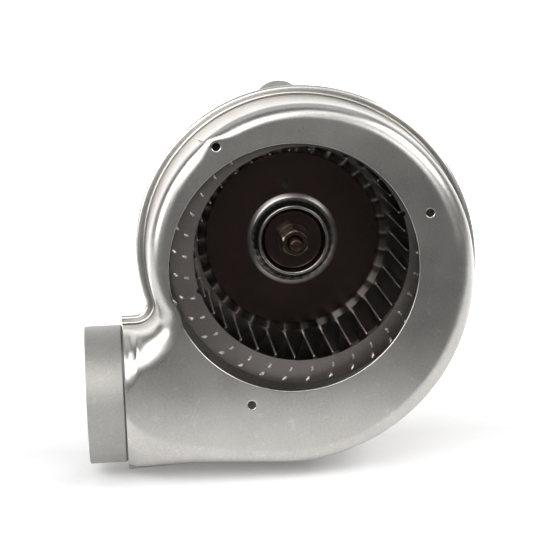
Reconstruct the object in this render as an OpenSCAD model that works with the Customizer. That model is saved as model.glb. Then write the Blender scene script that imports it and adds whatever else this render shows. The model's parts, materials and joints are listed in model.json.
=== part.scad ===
// Combustion fan: pressed steel scroll casing, centrifugal impeller and shaded-pole motor.
// Origin: centre of the inlet opening on the casing's front face.
// +Y runs into the casing along the shaft, +Z is up, the outlet points along -X.

/* [Casing] */
// Scroll radius at the tongue, measured from the shaft
scroll_r = 66; // [65:0.5:68]
// Growth of the scroll radius over the upper right quarter
scroll_step = 9; // [8:0.5:10]
// Radius of the scroll's last quarter, at the lower right
last_r = 82.6; // [81:0.1:84]
// How far the front wall leans in from the rim to the face
draft = 1.7; // [0:0.1:2]
// Sheet thickness of both half shells
sheet = 0.8; // [0.6:0.1:1]
// Outside radius of the pressed edge between face and wall
edge_r = 7; // [5:0.5:8]
// Width of the rim around the parting plane
rim_w = 3.8; // [3.4:0.1:4.4]
// Radius of the inlet opening
inlet_r = 52.7; // [50:0.1:53]
// Radius of the three screw holes in the face
screw_hole_r = 1.8; // [1.5:0.1:2.2]
// Distance of the screw holes from the inlet centre
screw_circle_r = 61.3; // [60.5:0.1:61.5]

/* [Outlet] */
// Outside radius of the outlet spigot
spigot_r = 30; // [29.5:0.1:30]
// Length of the spigot that stands out of the neck
spigot_out = 16; // [12:0.5:30]

/* [Impeller] */
// Number of blades
blade_count = 34; // [28:1:38]
// Inner radius of the blades
blade_r_in = 44.5; // [43:0.5:46]
// Outer radius of the blades and the two discs
blade_r_out = 56; // [54:0.5:57]
// Radius of curvature of a blade
blade_arc_r = 17.3; // [15:0.1:20]
// Depth of the impeller over its ring and disc
impeller_depth = 42; // [38:0.5:43]

/* [Motor] */
// Radius of the motor shaft
shaft_r = 3; // [2.5:0.1:3]
// Thickness of the lamination stack
stack_len = 24; // [18:1:30]
// Radius of the rotor
rotor_r = 12.8; // [12:0.1:12.9]

/* [Hidden] */
$fn = 96;

// Casing layout. The shaft sits up and to the right of the inlet centre.
half_depth = spigot_r + 0.2 + sheet;
depth = 2 * half_depth;
shaft_x = 4;
shaft_z = 4.2;
neck_r = half_depth;
neck_z = -57.8;
last_x = scroll_r + scroll_step - last_r;
scroll_low = shaft_z - scroll_step - last_r;
neck_end = -73.2;
loft_start = -46;
tongue_angle = 215;
tongue_fillet = 5;
fillet_bite = 0.03;
front_flange_w = rim_w - 0.9;
hem_w = 2;
fit_gap = 0.1;
screw_angles = [20.2, 120.6, 250.9];
screw_pad_r = screw_hole_r + 1.8;
screw_pad_depth = 5;
seat_len = 8;
seat_r = spigot_r - 0.5;

// Impeller layout along Y
ring_y = 9;
disc_t = 1;
ring_t = 0.8;
disc_y = ring_y + impeller_depth - disc_t;
blade_t = 0.6;
blade_lean = 5.7;
blade_phase = 10.45;
ring_r_in = blade_r_in + 1.5;
tab_radii = [49.9, 54];
tab_w = 1.7;
tab_proud = 0.9;
web_y = disc_y - 1.6;
step_r_out = 42.2;
step_r_in = 38.4;
dome_r = 21;
crest_r = 17.2;
crest_y = disc_y - 7;
floor_r = 12.5;
floor_y = disc_y - 4;
nut_af = 11;
nut_turn = 5;

// Stations along Y behind the casing
seal_t = 2;
seal_r = 9.5;
rivet_r = 1.25;
spacer_len = 9.5;
grommet_len = 8;
plate_y = depth + 13;
plate_t = 1.5;
stack_y = depth + 32;
bush_r = 6.8;
seat_end = 6.2;
bracket_front_y = plate_y + plate_t;
bracket_rear_y = stack_y + stack_len + stack_y - bracket_front_y;
shaft_front = 30;
shaft_rear = bracket_rear_y + 1.5;
bore_gap = 0.03;
limb_len = 34;
limb_low = -50;
limb_h = 12;
coil_grow = 7.4;
bobbin_wall = 1.2;
tie_x = 23;
tie_z = 15;
tie_r = 2;
ear_angles = [92, 212, 332];
ear_hole_at = 56;
ear_r = 12;

// ---- placing helpers ----

// Extrudes a shape drawn in X and Z between two stations along Y.
module slab(y0, y1) {
    translate([0, y1, 0]) rotate([90, 0, 0]) linear_extrude(y1 - y0) children();
}

// Turns a profile drawn as (radius, Y) about the Y axis.
module turned(start = 0, sweep = 360) {
    rotate([90, 0, 0]) rotate_extrude(angle = sweep, start = start) mirror([0, 1]) children();
}

module on_shaft() {
    translate([shaft_x, 0, shaft_z]) children();
}

module tube_y(r_out, r_in, y0, y1) {
    slab(y0, y1) difference() {
        circle(r_out);
        circle(r_in);
    }
}

module rod_y(r, y0, y1) {
    slab(y0, y1) circle(r);
}

module at_ears() {
    for (a = ear_angles) {
        on_shaft() rotate([0, -a, 0]) translate([ear_hole_at, 0, 0]) children();
    }
}

module at_ties() {
    for (sx = [-1, 1], sz = [-1, 1]) {
        on_shaft() translate([sx * tie_x, 0, sz * tie_z]) children();
    }
}

// ---- scroll ----

// Growth of a leaning wall past the parting plane, for cutters that stand proud of it.
function overrun(open_y, lean) = lean * (open_y - half_depth) / (half_depth - edge_r);

// Section of one scroll quarter: face at y = inset, wall that reaches radius r at the parting
// plane and leans in towards the face, rounded between the two.
module scroll_section(r, inset, open_y, lean) {
    corner = edge_r - inset;
    translate([0, inset]) square([r - lean - corner, open_y - inset]);
    translate([r - lean - corner, edge_r]) circle(corner);
    polygon([
        [0, edge_r],
        [r - lean, edge_r],
        [r + overrun(open_y, lean), open_y],
        [0, open_y]
    ]);
}

// Filled half of the scroll, from its face to the open parting plane.
module scroll_half(inset, open_y, lean) {
    on_shaft() {
        turned(90, tongue_angle - 90) scroll_section(scroll_r - inset, inset, open_y, lean);
        translate([0, 0, -scroll_step]) turned(0, 90)
            scroll_section(scroll_r + scroll_step - inset, inset, open_y, lean);
        translate([last_x, 0, -scroll_step]) turned(-90, 90)
            scroll_section(last_r - inset, inset, open_y, lean);
    }
    translate([loft_start, inset, shaft_z - 40]) cube([60, open_y - inset, 50]);
    bottom_run(inset, open_y, shaft_x + last_x - loft_start, lean);
}

// Straight lower run between the last quarter and the neck.
module bottom_run(inset, open_y, length, lean) {
    corner = edge_r - inset;
    low = scroll_low + inset;
    translate([loft_start, 0, 0]) rotate([90, 0, 90]) linear_extrude(length) {
        translate([inset, low + lean + corner])
            square([open_y - inset, shaft_z - low - lean - corner]);
        translate([edge_r, low + lean + corner]) circle(corner);
        polygon([
            [edge_r, low + lean],
            [open_y, low - overrun(open_y, lean)],
            [open_y, shaft_z],
            [edge_r, shaft_z]
        ]);
    }
}

// Half round collar blended into the box section of the scroll.
module neck_half(inset, open_y, end_x, lean) {
    r = neck_r - inset;
    corner = edge_r - inset;
    low = scroll_low + inset;
    top = neck_z + r;
    slice = 0.02;
    hull() {
        translate([end_x, 0, 0]) rotate([90, 0, 90]) linear_extrude(slice)
            half_round(r, inset, open_y);
        translate([neck_end, 0, 0]) rotate([90, 0, 90]) linear_extrude(slice)
            half_round(r, inset, open_y);
        translate([loft_start, 0, 0]) rotate([90, 0, 90]) linear_extrude(slice) {
            translate([inset + corner, low + lean + corner]) circle(corner, $fn = 32);
            translate([inset + corner, top - corner]) circle(corner, $fn = 32);
            translate([open_y - slice, low - overrun(open_y, lean)])
                square([slice, top - low + overrun(open_y, lean)]);
        }
    }
}

module half_round(r, inset, open_y) {
    intersection() {
        translate([half_depth, neck_z]) circle(r, $fn = 64);
        translate([inset - 1, neck_z - r - 1]) square([half_depth - inset + 1, 2 * r + 2]);
    }
    translate([half_depth - 1, neck_z - r]) square([open_y - half_depth + 1, 2 * r]);
}

// Outline of the scroll and neck in X and Z, grown outwards by w.
module scroll_outline(w, end_x) {
    r = scroll_r + w;
    top = neck_z + neck_r + w;
    translate([shaft_x, shaft_z]) {
        intersection() {
            circle(r);
            translate([-100, top - shaft_z - 2]) square([100, 200]);
        }
        intersection() {
            translate([0, -scroll_step]) circle(r + scroll_step);
            translate([0, -scroll_step]) square(100);
        }
        intersection() {
            translate([last_x, -scroll_step]) circle(last_r + w);
            translate([last_x, -scroll_step - 100]) square(100);
        }
    }
    translate([loft_start, shaft_z - 40]) square([60, 50]);
    polygon([
        [end_x, neck_z - neck_r - w],
        [loft_start, scroll_low - w],
        [shaft_x + last_x, scroll_low - w],
        [shaft_x + last_x, top],
        [end_x, top]
    ]);
    if (w > 0) tongue_fill(w);
}

// Fillet in the corner between the scroll and the top of the neck.
module tongue_fill(w) {
    r = scroll_r + w;
    top = neck_z + neck_r + w;
    reach = r + tongue_fillet;
    rise = top + tongue_fillet - shaft_z;
    run = sqrt(reach * reach - rise * rise);
    cx = shaft_x - run;
    cz = shaft_z + rise;
    difference() {
        polygon([
            [cx, cz],
            [cx, top - 1],
            [shaft_x - r * 0.8, top - 1],
            [shaft_x - run * (r - 1) / reach, shaft_z + rise * (r - 1) / reach]
        ]);
        translate([cx, cz]) circle(tongue_fillet + fillet_bite);
    }
}

// Flat pad that carries the upper left screw hole out over the rounded edge.
module screw_pad(inset) {
    rotate([0, -screw_angles[1], 0]) translate([screw_circle_r, 0, 0])
        rod_y(screw_pad_r - inset, inset, screw_pad_depth);
}

// One pressed half shell with its flange, open at the parting plane.
module half_shell(flange_w, lean, padded = false) {
    difference() {
        union() {
            scroll_half(0, half_depth, lean);
            neck_half(0, half_depth, neck_end, lean);
            slab(half_depth - sheet, half_depth) scroll_outline(flange_w, neck_end);
            if (padded) screw_pad(0);
        }
        scroll_half(sheet, half_depth + 1, lean);
        neck_half(sheet, half_depth + 1, neck_end - 1, lean);
        if (padded) screw_pad(sheet);
    }
}

module front_casing() {
    color("silver") difference() {
        half_shell(front_flange_w, draft, padded = true);
        rod_y(inlet_r, -1, 2);
        for (a = screw_angles) {
            rotate([0, -a, 0]) translate([screw_circle_r, 0, 0]) rod_y(screw_hole_r, -1, 2);
        }
    }
}

module rear_casing() {
    color("silver") {
        difference() {
            translate([0, depth, 0]) mirror([0, 1, 0]) half_shell(rim_w - 0.4, 0);
            on_shaft() {
                rod_y(seal_r - 1.5, depth - 2, depth + 1);
                at_rivets() rod_y(rivet_r + 0.05, depth - 2, depth + 1);
            }
            at_ears() rod_y(2.6, depth - 2, depth + 1);
        }
        hem();
    }
}

// Edge of the rear flange, folded forward over the front flange.
module hem() {
    fold_y = half_depth - sheet - fit_gap;
    slab(fold_y - sheet, half_depth + sheet) difference() {
        scroll_outline(rim_w, neck_end);
        scroll_outline(front_flange_w + fit_gap, neck_end - 1);
    }
    slab(fold_y - sheet, fold_y) difference() {
        scroll_outline(rim_w - 0.4, neck_end);
        scroll_outline(rim_w - hem_w, neck_end - 1);
    }
}

// Round tube: wide outside the neck, narrower inside it, with a bead that grips the neck.
module outlet_spigot() {
    step_x = neck_end - 0.5;
    wall = 0.9;
    color("silver") translate([0, half_depth, neck_z]) rotate([0, 90, 0]) difference() {
        union() {
            translate([0, 0, step_x - spigot_out]) cylinder(r = spigot_r, h = spigot_out);
            translate([0, 0, step_x]) cylinder(r = seat_r, h = seat_len);
            translate([0, 0, step_x + 1]) cylinder(r = spigot_r + 0.05, h = 0.9);
        }
        translate([0, 0, step_x - spigot_out - 1])
            cylinder(r = spigot_r - wall, h = spigot_out);
        translate([0, 0, step_x - spigot_out - 1])
            cylinder(r = seat_r - wall, h = spigot_out + seat_len + 2);
    }
}

// ---- impeller ----

// Curved strip of one blade between two radii, seen along the shaft.
module blade_strip(r0, r1, t) {
    intersection() {
        translate([
            blade_r_in - blade_arc_r * sin(blade_lean),
            -blade_arc_r * cos(blade_lean)
        ]) difference() {
            circle(blade_arc_r + t / 2);
            circle(blade_arc_r - t / 2);
        }
        difference() {
            circle(r1);
            circle(r0);
        }
        translate([blade_r_in - 5, -10]) square([20, 13]);
    }
}

module at_blades() {
    for (i = [0 : blade_count - 1]) {
        on_shaft() rotate([0, -(blade_phase + i * 360 / blade_count), 0]) children();
    }
}

module tab_slots(y0, y1) {
    at_blades() slab(y0, y1) {
        for (r = tab_radii) {
            blade_strip(r - tab_w / 2 - 0.1, r + tab_w / 2 + 0.1, blade_t + 0.2);
        }
    }
}

module impeller_front_ring() {
    color("dimgray") difference() {
        on_shaft() tube_y(blade_r_out, ring_r_in, ring_y, ring_y + ring_t);
        tab_slots(ring_y - 1, ring_y + ring_t + 1);
        for (a = [19.5, 197]) {
            on_shaft() rotate([0, -a, 0]) translate([ring_r_in, 0, 0])
                rod_y(1.2, ring_y - 1, ring_y + ring_t + 1);
        }
    }
}

module impeller_blades() {
    color("gray") at_blades() {
        slab(ring_y + ring_t, disc_y) blade_strip(blade_r_in, blade_r_out - 0.4, blade_t);
        for (r = tab_radii) {
            slab(ring_y - tab_proud, ring_y + ring_t + 0.5)
                blade_strip(r - tab_w / 2, r + tab_w / 2, blade_t);
            slab(disc_y - 0.5, disc_y + disc_t + tab_proud)
                blade_strip(r - tab_w / 2, r + tab_w / 2, blade_t);
        }
    }
}

// Front line of the pressed back disc, from the rim to the bore.
function disc_line(y_shift) = [
    [blade_r_out, disc_y + y_shift],
    [step_r_out, disc_y + y_shift],
    [step_r_in, web_y + y_shift],
    [dome_r, web_y + y_shift],
    [crest_r + 2.2, crest_y + 1 + y_shift],
    [crest_r, crest_y + y_shift],
    [crest_r - 2.2, crest_y + 0.8 + y_shift],
    [floor_r, floor_y + y_shift],
    [shaft_r, floor_y + y_shift]
];

function reversed(list) = [for (i = [len(list) - 1 : -1 : 0]) list[i]];

module impeller_back_disc() {
    color("dimgray") difference() {
        on_shaft() turned() polygon(concat(disc_line(0), reversed(disc_line(disc_t))));
        tab_slots(disc_y - 1, disc_y + disc_t + 1);
        on_shaft() rotate([0, -96, 0]) translate([24.4, 0, 0])
            rod_y(1.5, web_y - 1, web_y + disc_t + 1);
    }
}

module hex_nut(af, y0, y1, bore) {
    slab(y0, y1) difference() {
        circle(r = af / sqrt(3), $fn = 6);
        circle(bore);
    }
}

module impeller_washer() {
    color("darkkhaki") on_shaft() tube_y(7, shaft_r + 0.05, floor_y - 1, floor_y);
}

module impeller_nut() {
    color("darkkhaki") on_shaft() rotate([0, -nut_turn, 0])
        hex_nut(nut_af, floor_y - 6, floor_y - 1, shaft_r + 0.02);
}

module lock_nut() {
    color("darkkhaki") on_shaft() rotate([0, -nut_turn, 0])
        hex_nut(nut_af, floor_y - 10, floor_y - 6.2, shaft_r + 0.02);
}

module impeller_collar() {
    color("gray") on_shaft() tube_y(8, shaft_r, floor_y + disc_t, floor_y + disc_t + 8);
}

module motor_shaft() {
    color("silver") on_shaft() {
        rod_y(shaft_r, shaft_front + 0.6, shaft_rear);
        turned() polygon([
            [0, shaft_front], [shaft_r - 0.6, shaft_front],
            [shaft_r, shaft_front + 0.6], [0, shaft_front + 0.6]
        ]);
    }
}

// ---- shaft seal on the rear shell ----

module shaft_seal() {
    color("darkgray") on_shaft() tube_y(seal_r, shaft_r + 0.35, depth, depth + seal_t);
}

module seal_retainer() {
    color("silver") on_shaft() difference() {
        union() {
            rod_y(16, depth, depth + sheet);
            rod_y(seal_r + 0.9, depth, depth + seal_t + sheet);
        }
        rod_y(seal_r + 0.1, depth - 1, depth + seal_t);
        rod_y(shaft_r + 1.2, depth - 1, depth + seal_t + 2);
        at_rivets() rod_y(rivet_r + 0.05, depth - 1, depth + 2);
    }
}

module at_rivets() {
    for (a = [30, 150, 270]) {
        rotate([0, -a, 0]) translate([13.3, 0, 0]) children();
    }
}

module seal_rivets() {
    color("lightgray") on_shaft() at_rivets() {
        rod_y(rivet_r, depth - sheet - 0.1, depth + sheet + 0.1);
        rod_y(2.2, depth + sheet, depth + sheet + 1);
        rod_y(2.2, depth - sheet - 0.8, depth - sheet);
    }
}

// ---- motor plate and its rubber mounts ----

module mount_spacers() {
    color("silver") at_ears() {
        tube_y(3.5, 2.05, depth, depth + spacer_len);
        tube_y(2.5, 2.05, depth - sheet, depth + 1);
    }
}

module motor_plate() {
    color("silver") difference() {
        slab(plate_y, plate_y + plate_t) difference() {
            translate([shaft_x, shaft_z]) {
                circle(37);
                for (a = ear_angles) rotate(a) {
                    translate([0, -ear_r]) square([ear_hole_at, 2 * ear_r]);
                    translate([ear_hole_at, 0]) circle(ear_r);
                }
            }
            translate([shaft_x, shaft_z]) circle(14);
        }
        at_ears() rod_y(5.6, plate_y - 1, plate_y + plate_t + 1);
        at_ties() rod_y(tie_r + 0.15, plate_y - 1, plate_y + plate_t + 1);
        on_shaft() earth_rivet_at() rod_y(1.6, plate_y - 1, plate_y + plate_t + 1);
    }
}

module rubber_grommets() {
    y0 = depth + spacer_len;
    color("#333333") at_ears() turned() difference() {
        translate([2.95, y0]) square([5.3, grommet_len]);
        translate([5.5, plate_y - 0.1]) square([5, plate_t + 0.2]);
    }
}

module grommet_sleeves() {
    y0 = depth + spacer_len;
    color("silver") at_ears() tube_y(2.85, 2.1, y0, y0 + grommet_len);
}

module plate_washers() {
    y0 = depth + spacer_len + grommet_len;
    color("silver") at_ears() tube_y(6, 2.15, y0, y0 + 0.8);
}

module plate_screws() {
    y0 = depth + spacer_len + grommet_len + 0.8;
    color("lightgray") at_ears() {
        rod_y(1.95, depth + 1, y0 + 0.1);
        slab(y0, y0 + 2.8) circle(r = 7 / sqrt(3), $fn = 6);
    }
}

module cooling_fan() {
    y0 = depth + 4.6;
    color("gainsboro") on_shaft() {
        tube_y(6, shaft_r, y0, y0 + 6);
        tube_y(22, 5.9, y0, y0 + 0.8);
        for (i = [0 : 8]) {
            rotate([0, -i * 40, 0]) translate([8.5, y0 + 0.7, -0.4]) cube([13, 5.3, 0.8]);
        }
    }
}

module earth_rivet_at() {
    rotate([0, -ear_angles[2], 0]) translate([42, 0, 0]) children();
}

module earth_tab() {
    color("gold") on_shaft() earth_rivet_at() {
        rod_y(1.5, plate_y, plate_y + plate_t + 0.9);
        translate([-3.15, plate_y + plate_t, -4]) cube([6.3, 0.8, 12]);
        translate([-3.15, plate_y + plate_t, 7.2]) cube([6.3, 8.8, 0.8]);
    }
}

// ---- motor ----

// Cast spider that carries a bearing: four pillars, arms and a boss.
module bracket(y0, y1) {
    difference() {
        union() {
            at_ties() rod_y(5, y0, y1);
            on_shaft() {
                slab(y0 + 1, y0 + 6) difference() {
                    for (s = [-1, 1]) rotate(s * atan(tie_z / tie_x))
                        translate([-norm([tie_x, tie_z]), -4]) square([2 * norm([tie_x, tie_z]), 8]);
                    circle(9.5);
                }
                tube_y(12, 4.5, y0 + 1, y0 + 2);
                tube_y(12, bush_r + 0.05, y0 + 1.9, y0 + seat_end);
                tube_y(12, 9.5, y0 + seat_end - 0.1, y0 + 11.5);
            }
        }
        at_ties() rod_y(tie_r + 0.15, y0 - 1, y1 + 1);
    }
}

module front_bearing_bracket() {
    color("lightgray") bracket(bracket_front_y, stack_y);
}

module rear_bearing_bracket() {
    color("lightgray") at_motor_back() bracket(bracket_front_y, stack_y);
}

// Mirrors a part at the motor's front end to its rear end.
module at_motor_back() {
    translate([0, bracket_front_y + bracket_rear_y, 0]) mirror([0, 1, 0]) children();
}

module both_ends() {
    children();
    at_motor_back() children();
}

// Self-aligning sintered bush with a rounded belly, in the front bracket's seat.
module bush() {
    y0 = bracket_front_y + 2.2;
    on_shaft() turned() intersection() {
        translate([shaft_r + bore_gap, y0]) square([5, 8]);
        translate([0, y0 + 4]) circle(bush_r);
    }
}

module front_bearing() {
    color("peru") bush();
}

module rear_bearing() {
    color("peru") at_motor_back() bush();
}

module oil_felts() {
    y0 = bracket_front_y + seat_end;
    color("khaki") both_ends() on_shaft() tube_y(9.4, bush_r + 0.1, y0 + 0.1, y0 + 2.9);
}

module bearing_clips() {
    y0 = bracket_front_y + seat_end + 3.1;
    color("silver") both_ends() on_shaft() tube_y(9.4, 6.3, y0, y0 + 0.5);
}

module stator_core() {
    color("slategray") difference() {
        on_shaft() slab(stack_y, stack_y + stack_len) difference() {
            union() {
                translate([-31, -29]) square([62, 58]);
                for (x = [-31, limb_len / 2]) {
                    translate([x, limb_low - 4]) square([31 - limb_len / 2, 26]);
                }
                translate([-limb_len / 2 - 1, limb_low]) square([limb_len + 2, limb_h]);
            }
            circle(rotor_r + 0.5);
            for (s = [-1, 1]) translate([s * 31, 29]) rotate(45) square(8, center = true);
            at_shading_slots(0.1);
        }
        at_ties() rod_y(tie_r + 0.15, stack_y - 1, stack_y + stack_len + 1);
    }
}

// Slots beside the bore that the copper shading rings pass through.
module at_shading_slots(gap) {
    for (s = [-1, 1]) {
        for (x = [14.6, 19.6]) {
            translate([s * x - 0.8 - gap, s * 4 - 1.6 - gap]) square([1.6 + 2 * gap, 3.2 + 2 * gap]);
        }
    }
}

module shading_rings() {
    color("chocolate") on_shaft() {
        slab(stack_y - 1.6, stack_y + stack_len + 1.6) at_shading_slots(0);
        for (y = [stack_y - 1.6, stack_y + stack_len]) {
            slab(y, y + 1.6) for (s = [-1, 1]) {
                translate([s * 17.1 - 3.3, s * 4 - 1.6]) square([6.6, 3.2]);
            }
        }
    }
}

// Box around the coil limb, grown in Y and Z.
module coil_box(x0, x1, grow) {
    translate([shaft_x + x0, stack_y - grow, shaft_z + limb_low - grow])
        cube([x1 - x0, stack_len + 2 * grow, limb_h + 2 * grow]);
}

module coil_bobbin() {
    half = limb_len / 2 - 0.2;
    color("white") {
        difference() {
            union() {
                coil_box(-half, half, bobbin_wall + 0.1);
                coil_box(-half, 1.2 - half, coil_grow + 0.6);
                coil_box(half - 1.2, half, coil_grow + 0.6);
            }
            coil_box(-limb_len, limb_len, 0.1);
        }
        difference() {
            translate([shaft_x - half, stack_y + stack_len + coil_grow + 0.2, shaft_z - 57.8])
                cube([2 * half, 6, 9]);
            at_terminals() cube([6.5, 20, 1], center = true);
        }
    }
}

module coil_winding() {
    half = limb_len / 2 - 1.6;
    color("saddlebrown") difference() {
        coil_box(-half, half, coil_grow);
        coil_box(-limb_len, limb_len, bobbin_wall + 0.2);
    }
}

module at_terminals() {
    for (s = [-1, 1]) {
        translate([shaft_x + s * 7, stack_y + stack_len + 11, shaft_z - 53.5]) children();
    }
}

module terminal_tabs() {
    color("gold") at_terminals() translate([-3.15, -2, -0.4]) cube([6.3, 12, 0.8]);
}

module rotor_core() {
    color("dimgray") on_shaft() tube_y(rotor_r, shaft_r, stack_y, stack_y + stack_len);
}

module rotor_cage() {
    color("gainsboro") both_ends() on_shaft()
        tube_y(rotor_r - 0.6, shaft_r + 2.5, stack_y - 3, stack_y);
}

module thrust_washers() {
    y0 = bracket_front_y + 10.4;
    color("ivory") both_ends() on_shaft() tube_y(5.5, shaft_r + 0.02, y0, y0 + 0.8);
}

module shaft_clips() {
    y0 = bracket_front_y + 11.3;
    color("darkgray") both_ends() on_shaft() tube_y(5, shaft_r, y0, y0 + 0.7);
}

module tie_screws() {
    color("lightgray") at_ties() {
        rod_y(tie_r, plate_y - 4, bracket_rear_y + 0.1);
        rod_y(3.6, bracket_rear_y, bracket_rear_y + 2.6);
    }
}

module tie_nuts() {
    color("lightgray") at_ties() hex_nut(7, plate_y - 3.2, plate_y, tie_r + 0.02);
}

front_casing();
rear_casing();
outlet_spigot();
impeller_front_ring();
impeller_blades();
impeller_back_disc();
impeller_washer();
impeller_nut();
lock_nut();
impeller_collar();
motor_shaft();
shaft_seal();
seal_retainer();
seal_rivets();
mount_spacers();
motor_plate();
rubber_grommets();
grommet_sleeves();
plate_washers();
plate_screws();
cooling_fan();
front_bearing_bracket();
rear_bearing_bracket();
front_bearing();
rear_bearing();
oil_felts();
bearing_clips();
stator_core();
shading_rings();
coil_bobbin();
coil_winding();
terminal_tabs();
earth_tab();
rotor_core();
rotor_cage();
thrust_washers();
shaft_clips();
tie_screws();
tie_nuts();
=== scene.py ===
"""Looks for the combustion fan: smooth pressed shells, impeller details, materials, light and camera."""
import json
import math
import random

import bmesh
import bpy
from mathutils import Matrix, Vector
from mathutils.geometry import delaunay_2d_cdt


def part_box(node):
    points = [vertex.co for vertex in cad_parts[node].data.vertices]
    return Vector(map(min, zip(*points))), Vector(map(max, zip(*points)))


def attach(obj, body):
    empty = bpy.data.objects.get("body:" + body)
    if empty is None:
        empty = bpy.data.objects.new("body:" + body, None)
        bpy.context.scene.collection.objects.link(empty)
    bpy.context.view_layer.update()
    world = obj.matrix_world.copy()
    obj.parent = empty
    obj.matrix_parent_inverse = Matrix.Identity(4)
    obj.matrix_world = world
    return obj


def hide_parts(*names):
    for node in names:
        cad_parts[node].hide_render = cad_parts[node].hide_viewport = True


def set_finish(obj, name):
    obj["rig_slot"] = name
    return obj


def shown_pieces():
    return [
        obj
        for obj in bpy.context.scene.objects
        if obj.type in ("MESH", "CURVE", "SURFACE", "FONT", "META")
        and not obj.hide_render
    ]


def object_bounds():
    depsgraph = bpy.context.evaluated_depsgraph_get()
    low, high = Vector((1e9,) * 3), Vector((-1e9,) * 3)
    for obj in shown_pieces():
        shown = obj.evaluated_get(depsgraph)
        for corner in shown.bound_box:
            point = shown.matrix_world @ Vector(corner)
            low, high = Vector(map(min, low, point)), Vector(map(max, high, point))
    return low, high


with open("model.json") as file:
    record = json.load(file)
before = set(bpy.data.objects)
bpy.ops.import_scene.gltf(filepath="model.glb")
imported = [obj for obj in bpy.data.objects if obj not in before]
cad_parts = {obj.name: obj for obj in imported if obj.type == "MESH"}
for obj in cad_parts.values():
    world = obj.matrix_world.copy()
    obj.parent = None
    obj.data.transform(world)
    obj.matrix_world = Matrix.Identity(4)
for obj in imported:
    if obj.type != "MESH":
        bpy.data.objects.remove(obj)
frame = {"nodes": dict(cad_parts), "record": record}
cad_low, cad_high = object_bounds()

MM = 0.001
record = frame["record"]
mounts = {m["name"]: m for m in record["mounts"]}


def in_mm(point):
    return [1000 * v for v in point]


# ---- sizes, in mm: the frame gives what it knows, and the rest repeats the CAD or adds detail ----
shaft_x, _, shaft_z = in_mm(record["behaviour"]["joints"][0]["pos_m"])
_, parting, neck_z = in_mm(mounts["outlet"]["pos_m"])
inlet_r = mounts["inlet"]["dims"]["r_mm"]
screw_holes = [in_mm(m["pos_m"]) for n, m in mounts.items() if n.startswith("face_screw")]
screw_hole_r = mounts["face_screw_1"]["dims"]["r_mm"]
neck_end = 1000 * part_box("front_casing")[0].x

# Casing sheet, its rim and hem, and the wall's fillet in the corner between scroll and neck.
sheet = 0.8
rim_w = 3.8
hem_fold_r = 1.25
wall_fillet = 5 + rim_w

# Scroll: three arcs about centres that step away from the shaft, then a straight run into the neck.
scroll_r = 66
scroll_step = 9
last_r = 82.6
last_x = shaft_x + scroll_r + scroll_step - last_r
scroll_low = shaft_z - scroll_step - last_r
run_start = -46
neck_r = parting
neck_top = neck_z + neck_r
neck_low = neck_z - neck_r

# The front shell's edge is this much tighter beside the upper screw hole, over about this many degrees.
pad_lift = 3.2
pad_spread = 5

# Holes in the rear wall, round the shaft: (distance from it, radius, angles) for rivets and spacers.
seal_hole_r = 8
rear_hole_rings = ((13.3, 1.3, (30, 150, 270)), (56, 2.6, (92, 212, 332)))

# Outlet spigot: pressed marks as (distance from its open end, angle in degrees).
spigot_wall = 0.9
spigot_marks = ((6.5, 118), (6.2, 131), (8, 232))

# Impeller. A blade is an arc that starts at the inner radius.
disc_t = 1.0
disc_hole_r = 1.5
disc_hole_at = 24.4
disc_hole_angle = 96
blade_count = 34
blade_phase = 10.45
blade_lean = 5.7
blade_arc_r = 17.3
blade_r_in = 44.5
tab_radii = (49.9, 54)
ring_front = in_mm(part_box("impeller_front_ring")[0])[1]

# Nuts on the shaft, and the shaft's thread.
nut_across = 11
nut_bore_r = 3.02
nut_turn = math.radians(5)
thread_pitch = 1.0
thread_len = 13
thread_depth = 0.55


# ---- mesh helpers ----

def record_slot(node):
    return next(s["material_slot"] for s in record["subparts"] if s["node"] == node)


def add_mesh(name, verts, faces, body, slot, sharp=35):
    """A new piece from mm coordinates that rides on a body and shades smooth below the sharp angle."""
    mesh = bpy.data.meshes.new(name)
    mesh.from_pydata([Vector(v) * MM for v in verts], [], faces)
    mesh.validate()
    piece = bpy.data.objects.new(name, mesh)
    bpy.context.scene.collection.objects.link(piece)
    smooth(piece, sharp)
    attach(piece, body)
    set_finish(piece, slot)
    return piece


def smooth(piece, sharp=35):
    """Shades smooth, apart from edges over the sharp angle in degrees."""
    piece.data.polygons.foreach_set("use_smooth", [True] * len(piece.data.polygons))
    piece.data.set_sharp_from_angle(angle=math.radians(sharp))


def fix_normals(piece):
    mesh = bmesh.new()
    mesh.from_mesh(piece.data)
    bmesh.ops.recalc_face_normals(mesh, faces=mesh.faces)
    mesh.to_mesh(piece.data)
    mesh.free()


def bevel(piece, width, angle=35, segments=2):
    """Rounds the edges over an angle in degrees by a width in mm."""
    mod = piece.modifiers.new("edge_round", "BEVEL")
    mod.width = width * MM
    mod.segments = segments
    mod.limit_method = "ANGLE"
    mod.angle_limit = math.radians(angle)
    mod.harden_normals = True
    mod.use_clamp_overlap = True


def thicken(piece, amount):
    mod = piece.modifiers.new("sheet", "SOLIDIFY")
    mod.thickness = amount * MM
    mod.offset = -1
    mod.use_even_offset = True


def apply_modifiers(piece, sharp):
    """Turns the modifiers into plain mesh."""
    graph = bpy.context.evaluated_depsgraph_get()
    made = bpy.data.meshes.new_from_object(piece.evaluated_get(graph))
    piece.modifiers.clear()
    piece.data = made
    smooth(piece, sharp)


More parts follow.
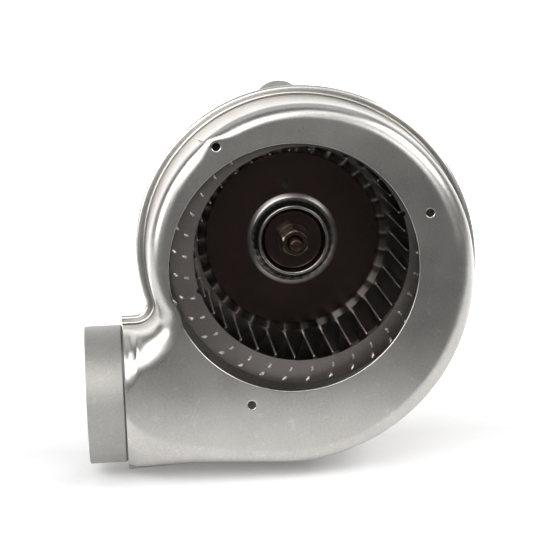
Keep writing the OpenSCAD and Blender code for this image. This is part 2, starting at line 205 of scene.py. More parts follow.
def catmull(knots, t):
    """Smooth value at t through (position, value) knots, held at the ends."""
    i = max(1, min(len(knots) - 1, next((k for k, n in enumerate(knots) if n[0] >= t), 1)))
    (t0, v0), (t1, v1) = knots[i - 1], knots[i]
    before = knots[i - 2] if i > 1 else knots[i - 1]
    after = knots[i + 1] if i + 1 < len(knots) else knots[i]
    m0 = (v1 - before[1]) / (t1 - before[0])
    m1 = (after[1] - v0) / (after[0] - t0)
    span = t1 - t0
    u = max(0, min(1, (t - t0) / span))
    return ((1 + 2 * u) * (1 - u) ** 2 * v0 + u * (1 - u) ** 2 * span * m0
            + u * u * (3 - 2 * u) * v1 + u * u * (u - 1) * span * m1)


def rounded(points, radii, steps):
    """A polyline with an arc of the given radius at each inner corner."""
    out = [Vector(points[0])]
    for before, corner, after, radius in zip(points, points[1:], points[2:], radii):
        a, c, b = Vector(before), Vector(corner), Vector(after)
        ua, ub = (a - c).normalized(), (b - c).normalized()
        half = ua.angle(ub) / 2
        reach = min(radius / math.tan(half), 0.45 * (a - c).length, 0.45 * (b - c).length)
        radius = reach * math.tan(half)
        centre = c + (ua + ub).normalized() * (radius / math.sin(half))
        start, stop = c + ua * reach - centre, c + ub * reach - centre
        sweep = start.angle(stop)
        for k in range(steps + 1):
            u = k / steps
            mix = start * math.sin((1 - u) * sweep) + stop * math.sin(u * sweep)
            out.append(centre + mix / math.sin(sweep))
    out.append(Vector(points[-1]))
    return out


def lathe_y(profile, segments, centre=(shaft_x, shaft_z), radius_of=None, close=False):
    """Turns (radius, y) points about a line along Y, and joins the last row to the first if close is set.

    radius_of can change a radius with its y and its angle.
    """
    verts, faces = [], []
    for r, y in profile:
        for k in range(segments):
            a = 2 * math.pi * k / segments
            here = radius_of(r, y, a) if radius_of else r
            verts.append((centre[0] + here * math.cos(a), y, centre[1] + here * math.sin(a)))
    rows = len(profile)
    for j in range(rows if close else rows - 1):
        low, high = j * segments, (j + 1) % rows * segments
        for k in range(segments):
            m = (k + 1) % segments
            faces.append((low + k, low + m, high + m, high + k))
    return verts, faces


# ---- casing shells ----

def casing_stations(lift):
    """Points along the wall's outline, from the neck's underside round the scroll to the neck's top.

    Each is (x, z, outward x, outward z, edge radius, lean of the wall). The edge is lift tighter
    beside the upper screw hole. Knots are (place, value), with the place as x in mm along a straight
    and as degrees round an arc.
    """
    fillet_reach = scroll_r + wall_fillet
    rise = neck_top + wall_fillet - shaft_z
    run = math.sqrt(fillet_reach ** 2 - rise ** 2)
    fillet_x = shaft_x - run
    fillet_turn = math.degrees(math.atan2(-rise, run))
    upper_hole = max(screw_holes, key=lambda p: p[2])
    pad_angle = math.degrees(math.atan2(upper_hole[2] - shaft_z, upper_hole[0] - shaft_x))
    round_end = neck_r - 0.2
    stations = []

    def straight(x0, z0, x1, z1, up, edges, leans, count):
        for k in range(count):
            x = x0 + (x1 - x0) * k / count
            z = z0 + (z1 - z0) * k / count
            stations.append((x, z, 0, up, catmull(edges, x), catmull(leans, x)))

    def arc(cx, cz, r, start, stop, edges, leans, step=1.5):
        """An arc of the wall. A negative radius is a hollow corner, with its centre outside the wall."""
        count = math.ceil(abs(stop - start) / step)
        for k in range(count):
            a = start + (stop - start) * k / count
            side = math.copysign(1, r)
            ux, uz = math.cos(math.radians(a)), math.sin(math.radians(a))
            edge = catmull(edges, a)
            if r == scroll_r:
                edge -= lift * math.exp(-((a - pad_angle) / pad_spread) ** 2)
            stations.append((cx + abs(r) * ux, cz + abs(r) * uz, side * ux, side * uz, edge,
                             catmull(leans, a)))

    low_edges = [(neck_end, round_end), (-70.3, 25.5), (-64, 19), (-58, 14), (-50, 11),
                 (-37, 8.8), (-12, 7), (last_x, 6.8)]
    low_leans = [(neck_end, 0), (-70, 0.4), (-64, 1.8), (-58, 3.2), (-48, 3.6), (-37, 3.5), (-20, 2.8),
                 (last_x, 2)]
    straight(neck_end, neck_low, run_start, scroll_low, -1, low_edges, low_leans, 30)
    straight(run_start, scroll_low, last_x, scroll_low, -1, low_edges, low_leans, 24)
    arc(last_x, shaft_z - scroll_step, last_r, -90, 0,
        [(-90, 6.8), (-60, 7), (-30, 7.5), (0, 8.5)], [(-90, 2), (-60, 1.9), (0, 1.7)])
    arc(shaft_x, shaft_z - scroll_step, scroll_r + scroll_step, 0, 90,
        [(0, 8.5), (30, 8), (60, 6.5), (90, 6)], [(0, 1.7), (90, 1.3)])
    arc(shaft_x, shaft_z, scroll_r, 90, 180 + fillet_turn,
        [(90, 6), (180, 6), (190, 6.5), (180 + fillet_turn, 7)], [(90, 1.3), (180 + fillet_turn, 1)])
    arc(fillet_x, neck_top + wall_fillet, -wall_fillet, fillet_turn, -90,
        [(-90, 16), (-62, 13), (-17, 10.2), (fillet_turn, 7)], [(-90, 0), (fillet_turn, 1)], 4.5)
    top_edges = [(neck_end, round_end), (-74.5, 26), (-70, 21), (fillet_x, 16)]
    straight(fillet_x, neck_top, neck_end, neck_top, 1, top_edges, [(neck_end, 0), (fillet_x, 0)], 16)
    stations.append((neck_end, neck_top, 0, 1, round_end, 0))
    return stations


def shell_profile(edge, hemmed):
    """(inward distance, distance from the parting plane) from the flange's edge to the start of the face.

    The hem turns back over the front shell's flange; the plain flange lies inside it.
    """
    hem_lip = (1.85, 2.2)
    plain_flange = (2.6, 2.2)
    flange_foot = (1.6, 1.2)
    hem_steps = 10
    foot_r = 1.0
    foot_steps = 6
    wall_start = sheet + foot_r
    wall_steps = 52
    points = []
    if hemmed:
        middle = rim_w - hem_fold_r
        points += [(-out, sheet - 2 * hem_fold_r) for out in hem_lip]
        points += [(-middle - hem_fold_r * math.sin(a), sheet - hem_fold_r - hem_fold_r * math.cos(a))
                   for a in (math.pi * k / hem_steps for k in range(hem_steps + 1))]
    else:
        points += [(-out, sheet) for out in plain_flange]
    points += [(-out, sheet) for out in flange_foot]
    bottom = neck_r - wall_start
    drop = edge - math.sqrt(max(0, edge ** 2 - max(0, wall_start - (neck_r - edge)) ** 2))
    points += [(drop - foot_r * (1 - math.sin(a)), sheet + foot_r * (1 - math.cos(a)))
               for a in (math.pi / 2 * k / foot_steps for k in range(foot_steps))]
    wall = max(0, bottom - edge)
    first = math.asin(max(0, min(1, (edge - bottom) / edge)))
    corner = edge * (math.pi / 2 - first)
    for k in range(wall_steps + 1):
        walked = (wall + corner) * k / wall_steps
        if walked < wall:
            points.append((0, wall_start + walked))
        else:
            turn = first + (walked - wall) / edge
            points.append((edge * (1 - math.cos(turn)), neck_r - edge * (1 - math.sin(turn))))
    points.append((edge + min(0.4, (neck_r - edge) / 2), neck_r))
    return points


def loft_wall(side, hemmed):
    """Vertices and faces of the wall, and the vertices where it meets the face."""
    stations = casing_stations(0 if hemmed else pad_lift)
    verts, faces = [], []
    for x, z, ux, uz, edge, lean in stations:
        for inward, away in shell_profile(edge, hemmed):
            if not hemmed:
                inward += lean * max(0, min(1, away / (neck_r - edge / 2)))
            verts.append((x - inward * ux, parting + side * away, z - inward * uz))
    rows = len(verts) // len(stations)
    for i in range(len(stations) - 1):
        for j in range(rows - 1):
            a, b = i * rows + j, (i + 1) * rows + j
            faces.append((a, b, b + 1, a + 1))
    rim = [i * rows + rows - 1 for i in range(len(stations))]
    return verts, faces, rim


def fill_face(verts, faces, rim, side, holes):
    """Adds the flat face inside the rim, with a rounded edge in each (x, z, radius, corners) hole."""
    hole_edge = ((0, 0.3), (0.06, 0.16), (0.18, 0.05), (0.36, 0), (0.8, 0))
    face_y = parting + side * neck_r
    flat = [Vector((verts[v][0], verts[v][2])) for v in rim]
    edges = [(k, (k + 1) % len(rim)) for k in range(len(rim))]
    owners = list(rim)
    for cx, cz, r, count in holes:
        for grow, sunk in hole_edge:
            first = len(flat)
            for k in range(count):
                a = 2 * math.pi * k / count
                x, z = cx + (r + grow) * math.cos(a), cz + (r + grow) * math.sin(a)
                flat.append(Vector((x, z)))
                owners.append(len(verts))
                verts.append((x, face_y - side * sunk, z))
                edges.append((first + k, first + (k + 1) % count))
    points, _, triangles, sources, _, _ = delaunay_2d_cdt(flat, edges, [], 1, 1e-5)
    index = []
    for p, source in zip(points, sources):
        known = owners[source[0]] if source else None
        if known is None:
            verts.append((p.x, face_y, p.y))
            known = len(verts) - 1
        index.append(known)
    for tri in triangles:
        mid = sum((points[k] for k in tri), Vector((0, 0))) / 3
        if all((mid - Vector(h[:2])).length > h[2] * 0.999 for h in holes):
            faces.append([index[k] for k in tri])


def build_shell(name, side, holes, hemmed):
    """Outer surface of a half shell, with its normals outward. side is -1 at the front, and hemmed
    turns the flange's edge back."""
    verts, faces, rim = loft_wall(side, hemmed)
    fill_face(verts, faces, rim, side, holes)
    piece = add_mesh(name, verts, faces, "casing", record_slot(name.replace("_skin", "")))
    mesh = bmesh.new()
    mesh.from_mesh(piece.data)
    bmesh.ops.remove_doubles(mesh, verts=mesh.verts, dist=1e-6)
    bmesh.ops.recalc_face_normals(mesh, faces=mesh.faces)
    face = max(mesh.faces, key=lambda f: f.calc_area())
    if face.normal.y * side < 0:
        bmesh.ops.reverse_faces(mesh, faces=mesh.faces)
    mesh.to_mesh(piece.data)
    mesh.free()
    smooth(piece)
    return piece


def dent(piece, start, stop, depth, spread, front_of):
    """Presses a straight crease into the sheet between two (x, z) points, where y is under front_of."""
    a, b = Vector(start), Vector(stop)
    for v in piece.data.vertices:
        here = Vector((v.co.x / MM, v.co.z / MM))
        u = max(0, min(1, (here - a).dot(b - a) / (b - a).length_squared))
        gap = (here - (a + (b - a) * u)).length
        if gap < 3 * spread and v.co.y / MM < front_of:
            v.co -= v.normal * depth * MM * math.exp(-(gap / spread) ** 2)


def finish_sheet(piece):
    """Gives a shell its thickness and breaks its sharp edges."""
    thicken(piece, sheet)
    bevel(piece, 0.14, 50)


front_holes = [(0, 0, inlet_r, 160)]
front_holes += [(x, z, screw_hole_r, 24) for x, _, z in screw_holes]
front = build_shell("front_casing_skin", -1, front_holes, False)
dent(front, (neck_end + 2.7, neck_z + 28.4), (neck_end + 4.6, neck_z + 23.5),
     depth=0.2, spread=0.5, front_of=20)
finish_sheet(front)
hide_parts("front_casing")

rear_holes = [(shaft_x, shaft_z, seal_hole_r, 64)]
for distance, radius, angles in rear_hole_rings:
    for angle in angles:
        rear_holes.append((shaft_x + distance * math.cos(math.radians(angle)),
                           shaft_z + distance * math.sin(math.radians(angle)), radius, 32))
rear = build_shell("rear_casing_skin", 1, rear_holes, True)
finish_sheet(rear)
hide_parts("rear_casing")


# ---- outlet spigot ----

def build_spigot():
    """Thin tube, rounded at its open end and stepped in where it sits in the neck."""
    low, high = (in_mm(v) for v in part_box("outlet_spigot"))
    out_r = mounts["outlet"]["dims"]["r_mm"]
    step_x = low[0] + mounts["outlet"]["dims"]["length_mm"]
    seat_r = out_r - 0.5
    rows = 24
    outer = [(out_r - 0.35, low[0]), (out_r - 0.1, low[0] + 0.1), (out_r, low[0] + 0.4)]
    outer += [(out_r, low[0] + (step_x - 0.4 - low[0]) * k / rows) for k in range(1, rows + 1)]
    outer += [(seat_r, step_x + 0.3), (seat_r, high[0])]
    inner = [(r - spigot_wall, x) for r, x in reversed(outer[2:])]
    inner.append((out_r - spigot_wall + 0.1, low[0] + 0.05))

    def pressed(r, x, a):
        """A shallow dimple with a raised ring round it at each mark."""
        for from_end, mark_angle in spigot_marks:
            along = x - (low[0] + from_end)
            gap = math.hypot(along, out_r * (a - math.radians(mark_angle)))
            if gap < 4.5:
                r -= 0.28 * math.exp(-(gap / 1.5) ** 2) - 0.1 * math.exp(-((gap - 2.4) / 0.7) ** 2)
        return r

    verts, faces = lathe_y(outer + inner, 288, (0, 0), pressed, close=True)
    verts = [(y, parting - x, neck_z + z) for x, y, z in verts]
    piece = add_mesh("outlet_spigot_skin", verts, faces, "casing", record_slot("outlet_spigot"))
    fix_normals(piece)
    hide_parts("outlet_spigot")


build_spigot()


# ---- impeller ----

def cut_hole(piece, x, z, radius, y0, y1, corners=32):
    """Cuts a round hole along Y through a piece."""
    verts, faces = lathe_y([(radius, y0), (radius, y1)], corners, (x, z))
    faces += [tuple(range(corners)), tuple(range(2 * corners - 1, corners - 1, -1))]
    mesh = bpy.data.meshes.new("cutter")
    mesh.from_pydata([Vector(v) * MM for v in verts], [], faces)
    cutter = bpy.data.objects.new("cutter", mesh)
    bpy.context.scene.collection.objects.link(cutter)
    cut = piece.modifiers.new("hole", "BOOLEAN")
    cut.object = cutter
    apply_modifiers(piece, 50)
    bpy.data.objects.remove(cutter)


def build_disc():
    """Pressed back disc: flat rim, web with one small hole, and a flared hub dome with a sunk floor."""
    low, high = (in_mm(v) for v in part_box("impeller_back_disc"))
    outer_r = (high[0] - low[0]) / 2
    disc_y = high[1] - disc_t
    web_y = disc_y - 1.6
    floor_y = disc_y - 4
    crest_y = low[1]
    corners = [(outer_r, disc_y), (42.2, disc_y), (38.4, web_y), (20.5, web_y), (18.6, web_y - 0.4),
               (17.2, web_y - 1.1), (15.6, crest_y), (14.3, crest_y), (12.7, floor_y), (3.05, floor_y)]
    line = rounded(corners, (1.2, 1.2, 2, 3, 2.4, 0.9, 0.7, 0.6), 8)
    ring = [(r, y) for r, y in line] + [(r, y + disc_t) for r, y in reversed(line)]
    verts, faces = lathe_y(ring, 256, close=True)
    piece = add_mesh("impeller_back_disc_skin", verts, faces, "rotor",
                     record_slot("impeller_back_disc"))
    fix_normals(piece)
    a = math.radians(disc_hole_angle)
    cut_hole(piece, shaft_x + disc_hole_at * math.cos(a), shaft_z + disc_hole_at * math.sin(a),
             disc_hole_r, web_y - 2, web_y + 3)
    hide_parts("impeller_back_disc")


def build_nut(node):
    """Hex nut with chamfered corners on both faces."""
    low, high = (in_mm(v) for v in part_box(node))
    y0, y1 = low[1], high[1]
    flat_r = nut_across / 2
    chamfer = 0.4

    def hexed(r, y, a):
        if r < flat_r - 0.6:
            return r
        corner_r = flat_r / math.cos((a - nut_turn + math.pi / 6) % (math.pi / 3) - math.pi / 6)
        deep = min(y - y0, y1 - y)
        return min(corner_r, flat_r - 0.25 + deep * 1.8)

    steps = [0, 0.08, 0.18, 0.32, 0.5, 0.7, 0.95]
    side = [(flat_r, y0 + s) for s in steps] + [(flat_r, y1 - s) for s in reversed(steps)]
    inside = [(nut_bore_r + 0.5, y1), (nut_bore_r, y1 - chamfer),
              (nut_bore_r, y0 + chamfer), (nut_bore_r + 0.5, y0)]
    verts, faces = lathe_y(side + inside, 192, radius_of=hexed, close=True)
    piece = add_mesh(node + "_skin", verts, faces, "rotor", record_slot(node), 25)
    fix_normals(piece)
    bevel(piece, 0.08, 28)
    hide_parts(node)


def build_shaft():
    """Ground shaft with a cut thread at its front end."""
    low, high = (in_mm(v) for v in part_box("motor_shaft"))
    r = (high[0] - low[0]) / 2
    thread_end = low[1] + thread_len
    corners = 64

    def threaded(radius, y, a):
        fade = max(0, min(1, (y - low[1] - 0.6) / 0.8, (thread_end - y) / 1.5))
        wave = abs(((y / thread_pitch - a / (2 * math.pi)) % 1) * 2 - 1)
        return radius - fade * thread_depth * wave

    front_face = [(0.02, low[1]), (r - 0.75, low[1]), (r - 0.6, low[1] + 0.05), (r, low[1] + 0.65)]
    thread = [(r, low[1] + 0.7 + k * thread_pitch / 10) for k in range(int((thread_end - low[1]) * 10))]
    tail = [(r, high[1] - 0.4), (r - 0.4, high[1]), (0.02, high[1])]
    verts, faces = lathe_y(front_face + thread + tail, corners, radius_of=threaded)
    faces += [tuple(range(corners - 1, -1, -1)), tuple(range(len(verts) - corners, len(verts)))]
    piece = add_mesh("motor_shaft_skin", verts, faces, "rotor", record_slot("motor_shaft"), 40)
    fix_normals(piece)
    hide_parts("motor_shaft")


def blade_crossing(r):
    """Where a blade's arc crosses radius r: the angle round the shaft, and the arc's own angle there."""
    arc_x = blade_r_in - blade_arc_r * math.sin(math.radians(blade_lean))
    arc_z = -blade_arc_r * math.cos(math.radians(blade_lean))
    arc_at = math.hypot(arc_x, arc_z)
    cosine = (r * r + arc_at ** 2 - blade_arc_r ** 2) / (2 * r * arc_at)
    angle = math.atan2(arc_z, arc_x) + math.acos(cosine)
    return angle, math.atan2(r * math.sin(angle) - arc_z, r * math.cos(angle) - arc_x)


def add_tab(verts, faces, r, along, heading, twist):
    """One staked tab at an angle along the ring: it tapers, twists and leans a little as it stands out."""
    levels = 5
    height = 1.4
    sunk = 0.3
    half_w, half_t = 0.95, 0.36
    outward = 1 if r == max(tab_radii) else -1
    base = len(verts)
    for k in range(levels):
        u = k / (levels - 1)
        y = ring_front + sunk - height * u
        turn = heading + twist * max(0, u - 0.25) / 0.75
        lean_out = 0.35 * u * u * outward
        x = shaft_x + r * math.cos(along) + lean_out * math.cos(along)
        z = shaft_z + r * math.sin(along) + lean_out * math.sin(along)
        a, b = half_w * (1 - 0.18 * u), half_t * (1 - 0.1 * u)
        for p, q in ((-a, -b), (a, -b), (a, b), (-a, b)):
            verts.append((x + p * math.cos(turn) - q * math.sin(turn), y,
                          z + p * math.sin(turn) + q * math.cos(turn)))
    for k in range(levels - 1):
        for m in range(4):
            p, q = base + 4 * k + m, base + 4 * k + (m + 1) % 4
            faces.append((p, q, q + 4, p + 4))
    top = base + 4 * (levels - 1)
    faces.append((base + 3, base + 2, base + 1, base))
    faces.append((top, top + 1, top + 2, top + 3))


def build_tabs():
    """Blade tabs staked over the front ring: each one is twisted and a little different."""
    draw = random.Random(7)
    verts, faces = [], []
    for i in range(blade_count):
        for r in tab_radii:
            local, arc_angle = blade_crossing(r)
            along = math.radians(blade_phase + i * 360 / blade_count) + local
            heading = along - local + arc_angle + math.pi / 2
            twist = math.radians(draw.uniform(12, 42)) * (1 if r == min(tab_radii) else -1)
            add_tab(verts, faces, r, along, heading, twist)
    piece = add_mesh("blade_tabs", verts, faces, "rotor", record_slot("impeller_blades"), 30)
    fix_normals(piece)
    bevel(piece, 0.1, 30)


build_disc()
build_nut("impeller_nut")
build_nut("lock_nut")
build_shaft()
build_tabs()


# ---- CAD nodes that stay: welded, rounded along their edges by a width in mm ----
EDGE_ROUND = {
    "impeller_front_ring": 0.1, "impeller_blades": 0.08, "impeller_washer": 0.12, "impeller_collar": 0.25,
    "shaft_seal": 0.3, "seal_retainer": 0.25, "seal_rivets": 0.4, "mount_spacers": 0.25,
    "motor_plate": 0.2, "rubber_grommets": 0.8, "grommet_sleeves": 0.15, "plate_washers": 0.2,
    "plate_screws": 0.3, "cooling_fan": 0.15, "front_bearing_bracket": 0.6, "rear_bearing_bracket": 0.6,
    "front_bearing": 0.15, "rear_bearing": 0.15, "oil_felts": 0.3, "bearing_clips": 0.1,
    "stator_core": 0.25, "shading_rings": 0.35, "coil_bobbin": 0.3, "coil_winding": 2.2,
    "terminal_tabs": 0.15, "earth_tab": 0.15, "rotor_core": 0.2, "rotor_cage": 0.4,
    "thrust_washers": 0.1, "shaft_clips": 0.1, "tie_screws": 0.4, "tie_nuts": 0.25,
}


def round_cad(node, width):
    """Welds a CAD node's mesh, clears its flat seams and rounds its edges."""
    piece = frame["nodes"][node]
    weld = piece.modifiers.new("weld", "WELD")
    weld.merge_threshold = 2e-6
    flat = piece.modifiers.new("flat", "DECIMATE")
    flat.decimate_type = "DISSOLVE"
    flat.angle_limit = math.radians(1)
    bevel(piece, width, segments=2 if width < 0.5 else 4)


for node, width in EDGE_ROUND.items():
    round_cad(node, width)


# ---- materials ----
looks = {}


class Graph:
    """A node material under construction, kept in looks under its slot's name."""

    def __init__(self, name):
        self.material = bpy.data.materials.new(name)
        self.material.use_nodes = True
        looks[name] = self.material
        self.tree = self.material.node_tree
        self.shader = self.tree.nodes["Principled BSDF"]
        self.place = self.tree.nodes.new("ShaderNodeTexCoord").outputs["Object"]

    def node(self, kind, **settings):
        made = self.tree.nodes.new("ShaderNode" + kind)
        for key, value in settings.items():
            setattr(made, key, value)
        return made

    def join(self, source, target):
        self.tree.links.new(source, target)

    def stretched(self, scale, turn):
        """The piece's coordinates, stretched and turned by degrees."""
        made = self.node("Mapping", vector_type="TEXTURE")
        made.inputs["Scale"].default_value = scale
        made.inputs["Rotation"].default_value = [math.radians(a) for a in turn]
        self.join(self.place, made.inputs["Vector"])
        return made.outputs["Vector"]

    def noise(self, scale, detail=3, place=None, rough=0.5):
        made = self.node("TexNoise")
        made.inputs["Scale"].default_value = scale
        made.inputs["Detail"].default_value = detail
        made.inputs["Roughness"].default_value = rough
        self.join(place or self.place, made.inputs["Vector"])
        return made.outputs["Fac"]

    def bands(self, direction, scale, distortion):
        """Even bands across one axis."""
        wave = self.node("TexWave", wave_type="BANDS", bands_direction=direction, wave_profile="SIN")
        wave.inputs["Scale"].default_value = scale
        wave.inputs["Distortion"].default_value = distortion
        self.join(self.place, wave.inputs["Vector"])
        return wave.outputs["Fac"]

    def remap(self, source, low, high, to_low, to_high):
        made = self.node("MapRange")
        made.clamp = True
        for key, value in zip(("From Min", "From Max", "To Min", "To Max"), (low, high, to_low, to_high)):
            made.inputs[key].default_value = value
        self.join(source, made.inputs["Value"])
        return made.outputs["Result"]

    def maths(self, operation, a, b):
        made = self.node("Math", operation=operation)
        for value, socket in ((a, made.inputs[0]), (b, made.inputs[1])):
            if isinstance(value, (int, float)):
                socket.default_value = value
            else:
                self.join(value, socket)
        return made.outputs["Value"]

    def mix(self, share, a, b):
        """Blends two colours. Sockets 6 and 7 take them, and output 2 gives the blend."""
        made = self.node("Mix", data_type="RGBA")
        self.join(share, made.inputs["Factor"])
        for value, socket in ((a, made.inputs[6]), (b, made.inputs[7])):
            if isinstance(value, (tuple, list)):
                socket.default_value = (*value[:3], 1)
            else:
                self.join(value, socket)
        return made.outputs[2]

    def bump(self, height, distance):
        """Adds a bump, in metres, over the bumps already there."""
        made = self.node("Bump")
        made.inputs["Strength"].default_value = 1
        made.inputs["Distance"].default_value = distance
        self.join(height, made.inputs["Height"])
        previous = self.shader.inputs["Normal"].links
        if previous:
            self.join(previous[0].from_socket, made.inputs["Normal"])
        self.join(made.outputs["Normal"], self.shader.inputs["Normal"])


def shade(color, factor):
    return tuple(min(1, c * factor) for c in color)


def metal(name, base, rough, mottle=0.1, mottle_scale=45, grain=0.000008, grain_scale=1100,
          scratches=0.3, stripes=None):
    """Worn metal: cloudy tone, fine grain and a few directions of scratches.

    The bump depths are in metres. stripes is the scale of turned or stacked bands along the shaft.
    """
    rough_spread = 0.02
    scratch_turns = (18, 74, 141)
    g = Graph(name)
    g.shader.inputs["Metallic"].default_value = 1
    cloud = g.noise(mottle_scale, 5, rough=0.6)
    fine = g.noise(grain_scale, 3, rough=0.7)
    tone = g.mix(g.remap(cloud, 0.3, 0.7, 0, 1), shade(base, 1 - mottle), shade(base, 1 + mottle))
    tone = g.mix(g.remap(fine, 0.35, 0.65, 0, 0.6), tone, shade(base, 1.25))
    marks = None
    for turn in scratch_turns:
        wave = g.noise(1, 1, g.stretched((0.003, 0.003, 0.05), (7, turn, 13)), 0.4)
        line = g.remap(g.maths("ABSOLUTE", g.maths("SUBTRACT", wave, 0.5), 0), 0, 0.03, 1, 0)
        patch = g.remap(g.noise(130 + turn, 1), 0.6, 0.66, 0, 1)
        line = g.maths("MULTIPLY", line, patch)
        marks = line if marks is None else g.maths("MAXIMUM", marks, line)
    marks = g.maths("MULTIPLY", marks, scratches)
    g.join(g.mix(marks, tone, shade(base, 1.6)), g.shader.inputs["Base Color"])
    roughness = g.remap(cloud, 0.3, 0.7, rough - rough_spread, rough + rough_spread)
    roughness = g.maths("ADD", roughness, g.remap(fine, 0.3, 0.7, -0.02, 0.02))
    g.join(g.maths("SUBTRACT", roughness, g.maths("MULTIPLY", marks, 0.1)), g.shader.inputs["Roughness"])
    g.bump(fine, grain)
    g.bump(marks, 0.000005)
    if stripes:
        g.bump(g.bands("Y", stripes, 0.2), 0.00012)
    return g


def dull(name, base, rough, mottle=0.15, mottle_scale=60, grain=0.00004, grain_scale=900, weave=None,
         coat=0.0):
    """Plastic, rubber, felt or winding tape. weave is the scale of a tape's bands."""
    g = Graph(name)
    cloud = g.noise(mottle_scale, 4)
    fine = g.noise(grain_scale, 4, rough=0.65)
    tone = g.mix(g.remap(cloud, 0.3, 0.7, 0, 1), shade(base, 1 - mottle), shade(base, 1 + mottle))
    tone = g.mix(g.remap(fine, 0.4, 0.8, 0, 0.4), tone, shade(base, 1.4))
    g.join(tone, g.shader.inputs["Base Color"])
    g.join(g.remap(cloud, 0.3, 0.7, rough - 0.06, rough + 0.06), g.shader.inputs["Roughness"])
    g.shader.inputs["Coat Weight"].default_value = coat
    g.bump(fine, grain)
    if weave:
        g.bump(g.bands("X", weave, 0.6), 0.00025)


def shaft_distance(g):
    """Distance from the shaft's line and place along it, in metres."""
    split = g.node("SeparateXYZ")
    g.join(g.place, split.inputs["Vector"])
    across = g.maths("SUBTRACT", split.outputs["X"], shaft_x * MM)
    upward = g.maths("SUBTRACT", split.outputs["Z"], shaft_z * MM)
    squared = g.maths("ADD", g.maths("MULTIPLY", across, across), g.maths("MULTIPLY", upward, upward))
    return g.maths("SQRT", squared, 0), split.outputs["Y"]


def blades(name, base, highlight_color):
    """Dull blade sheet whose cut inner edges and staked tabs get a light base colour: partly bare metal,
    partly a painted highlight standing in for the glints on them.
    """
    g = metal(name, base, 0.34, 0.2)
    dull_tone = g.shader.inputs["Base Color"].links[0].from_socket
    radius, depth = shaft_distance(g)
    # Painted highlight, partly bare metal: the blades' inner edges and the tabs in front of the ring are
    # mixed towards the light colour, in random patches.
    inner_edge = g.remap(radius, (blade_r_in + 0.2) * MM, (blade_r_in + 0.5) * MM, 1, 0)
    tab = g.remap(depth, (ring_front - 0.3) * MM, (ring_front - 0.1) * MM, 1, 0)
    bare_and_glint = g.maths("MAXIMUM", inner_edge, tab)
    wear_and_glint_patches = g.remap(g.noise(900, 2), 0.35, 0.55, 0.55, 1)
    g.join(g.mix(g.maths("MULTIPLY", bare_and_glint, wear_and_glint_patches), dull_tone, highlight_color), g.shader.inputs["Base Color"])


def drawn_disc(name, base, highlight_color):
    """Dark disc with a painted highlight: its hub dome's flare gets a lighter base colour, and at half
    strength so does everything from the outer step outward, standing in for the reflections there.
    """
    g = metal(name, base, 0.22, 0.12, scratches=0.2)
    dull_tone = g.shader.inputs["Base Color"].links[0].from_socket
    radius, _ = shaft_distance(g)
    # Painted highlight: a lighter base colour on the dome's flare, about 13 to 20 mm from the shaft, and
    # at half strength from 39 mm outward.
    dome_inside = g.remap(radius, 0.0128, 0.0142, 0, 1)
    dome_outside = g.remap(radius, 0.0185, 0.0205, 1, 0)
    dome = g.maths("MULTIPLY", dome_inside, dome_outside)
    rim = g.maths("MULTIPLY", g.remap(radius, 0.0385, 0.0395, 0, 1), 0.5)
    g.join(g.mix(g.maths("MAXIMUM", dome, rim), dull_tone, highlight_color), g.shader.inputs["Base Color"])


STEEL = (0.515, 0.50, 0.475)
metal("pressed_steel", STEEL, 0.31, grain=0.000004)
# The rear shell's steel is the front's steel painted 12% lighter. This is a painted highlight on its hem,
# which folds over the front rim.
metal("pressed_steel_rear", shade(STEEL, 1.12), 0.33, grain=0.000004)
metal("spigot_steel", shade(STEEL, 0.7), 0.6)
metal("impeller_steel", (0.25, 0.225, 0.21), 0.36, mottle=0.12)
# The blades' and the disc's second colours are painted highlights. On the blades they are partly bare
# metal.
blades("blade_steel", (0.09, 0.083, 0.078), highlight_color=(0.92, 0.88, 0.83))
drawn_disc("disc_steel", (0.095, 0.066, 0.060), highlight_color=(0.42, 0.40, 0.385))
metal("zinc_yellow", (0.17, 0.13, 0.10), 0.12, mottle=0.15, mottle_scale=180)
metal("turned_steel", (0.55, 0.54, 0.53), 0.28, stripes=1200)
metal("shaft_steel", (0.09, 0.06, 0.045), 0.26, mottle=0.2)
metal("zinc_bright", (0.56, 0.57, 0.58), 0.26, mottle=0.14, mottle_scale=120)
metal("plate_steel", (0.42, 0.41, 0.39), 0.36, mottle=0.25, mottle_scale=150)
metal("aluminium_plain", (0.62, 0.62, 0.62), 0.34, mottle=0.08)
metal("die_cast", (0.42, 0.42, 0.43), 0.46, mottle=0.12, mottle_scale=90,
      grain=0.00006, grain_scale=700, scratches=0.1)
metal("sintered_bronze", (0.52, 0.34, 0.18), 0.5, mottle=0.2, mottle_scale=200, grain=0.00005)
metal("lamination_steel", (0.26, 0.27, 0.30), 0.42, mottle=0.2, mottle_scale=90, stripes=640)
metal("copper", (0.72, 0.38, 0.24), 0.3, mottle=0.2, mottle_scale=150)
metal("tinned_brass", (0.74, 0.67, 0.48), 0.28, mottle=0.15, mottle_scale=120)
metal("spring_steel", (0.20, 0.20, 0.21), 0.36)
dull("felt", (0.36, 0.34, 0.31), 0.95, mottle=0.2, mottle_scale=300, grain=0.00025, grain_scale=1500)
dull("grommet_rubber", (0.025, 0.025, 0.027), 0.62, mottle=0.25)
dull("bobbin_plastic", (0.70, 0.66, 0.56), 0.45)
dull("coil_tape", (0.36, 0.13, 0.045), 0.32, mottle=0.2, mottle_scale=90, weave=500, coat=0.4)
dull("nylon", (0.82, 0.80, 0.74), 0.5, mottle=0.06)


def paint(piece, slot):
    piece.data.materials.clear()
    piece.data.materials.append(looks[slot])


for node, piece in frame["nodes"].items():
    paint(piece, record_slot(node))
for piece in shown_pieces():
    if "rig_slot" in piece:
        paint(piece, piece["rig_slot"])


# ---- stage ----

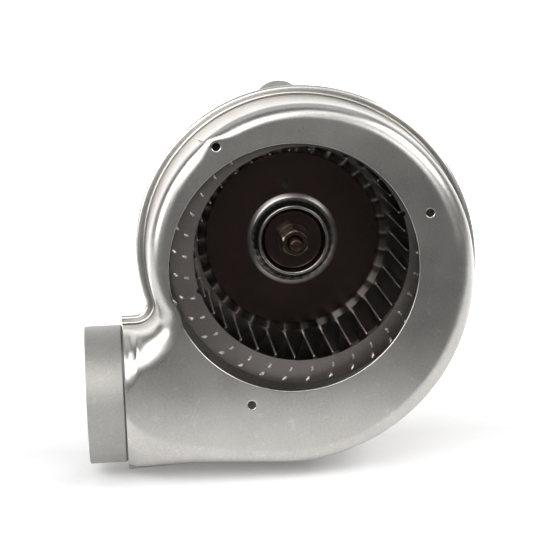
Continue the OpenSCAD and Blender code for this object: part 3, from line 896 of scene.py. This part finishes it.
def build_stage():
    """One pale sheet of paper: floor, a sweep and a wall behind. It glows more the farther back it is."""
    ground = cad_low.z
    front_edge = -0.12
    glow_from, glow_full = 0.06, 0.30
    sweep_at = 0.9
    sweep_r = 0.35
    sweep_steps = 12
    top = 1.6
    half_width = 2.2
    line = [(front_edge, ground), (glow_full, ground), (sweep_at, ground)]
    line += [(sweep_at + sweep_r * math.sin(a), ground + sweep_r * (1 - math.cos(a)))
             for a in (math.pi / 2 * k / sweep_steps for k in range(1, sweep_steps + 1))]
    line.append((sweep_at + sweep_r, top))
    verts = [(x, y, z) for y, z in line for x in (-half_width, half_width)]
    faces = [(2 * k, 2 * k + 1, 2 * k + 3, 2 * k + 2) for k in range(len(line) - 1)]
    mesh = bpy.data.meshes.new("floor")
    mesh.from_pydata(verts, [], faces)
    floor = bpy.data.objects.new("floor", mesh)
    bpy.context.scene.collection.objects.link(floor)
    smooth(floor, 60)
    paper = Graph("paper")
    paper.join(paper.mix(paper.noise(300), (0.77, 0.77, 0.77), (0.79, 0.79, 0.79)),
               paper.shader.inputs["Base Color"])
    paper.shader.inputs["Roughness"].default_value = 0.9
    paper.shader.inputs["Specular IOR Level"].default_value = 0.1
    paper.shader.inputs["Emission Color"].default_value = (1, 1, 1, 1)
    split = paper.node("SeparateXYZ")
    paper.join(paper.place, split.inputs["Vector"])
    glow = paper.remap(split.outputs["Y"], glow_from, glow_full, 0.1, 1.0)
    paper.join(glow, paper.shader.inputs["Emission Strength"])
    mesh.materials.append(paper.material)


def softbox(name, at, aim, size, power):
    """Rectangular soft light, in metres and watts, that faces the point aim."""
    light = bpy.data.lights.new(name, "AREA")
    light.shape = "RECTANGLE"
    light.size, light.size_y = size
    light.energy = power
    holder = bpy.data.objects.new(name, light)
    bpy.context.scene.collection.objects.link(holder)
    holder.location = at
    holder.rotation_euler = (Vector(aim) - Vector(at)).to_track_quat("-Z", "Y").to_euler()


build_stage()
middle = (0, 0, 0)
softbox("key_left", (-0.88, -0.45, 0.46), middle, (0.55, 0.9), 9)
softbox("key_right", (0.85, -0.28, 0.62), middle, (0.5, 0.5), 7)
softbox("key_top", (0.35, -0.75, 0.95), middle, (0.5, 0.4), 1.2)
softbox("shoulder", (-0.18, -0.52, 0.31), (-0.08, 0, -0.05), (0.44, 0.40), 2)
softbox("fill", (0, -1.25, 0.92), middle, (2.4, 0.6), 2.2)
softbox("fill_right", (0.62, -1.0, 0.32), middle, (0.55, 0.3), 1.6)
softbox("top", (0, 0.35, 1.3), (0, 0.1, 0), (1.6, 0.9), 3)
world = bpy.data.worlds.new("room")
bpy.context.scene.world = world
world.use_nodes = True
background = world.node_tree.nodes["Background"]
background.inputs["Color"].default_value = (0.5, 0.5, 0.5, 1)
background.inputs["Strength"].default_value = 0.18
bpy.context.scene.view_settings.view_transform = "Standard"


# ---- camera: place in metres, lens and sensor in mm, turns in degrees ----
camera_at = (-0.0711, -0.7064, 0.1419)
camera_heading = -5.06
camera_down = 11.48
camera_roll = -1.79
camera = bpy.data.objects.new("camera", bpy.data.cameras.new("camera"))
bpy.context.scene.collection.objects.link(camera)
camera.data.lens = 113.4
camera.data.sensor_width = 36
camera.matrix_world = (Matrix.Translation(camera_at)
                       @ Matrix.Rotation(math.radians(camera_heading), 4, "Z")
                       @ Matrix.Rotation(math.radians(90 - camera_down), 4, "X")
                       @ Matrix.Rotation(math.radians(camera_roll), 4, "Z"))
bpy.context.scene.camera = camera
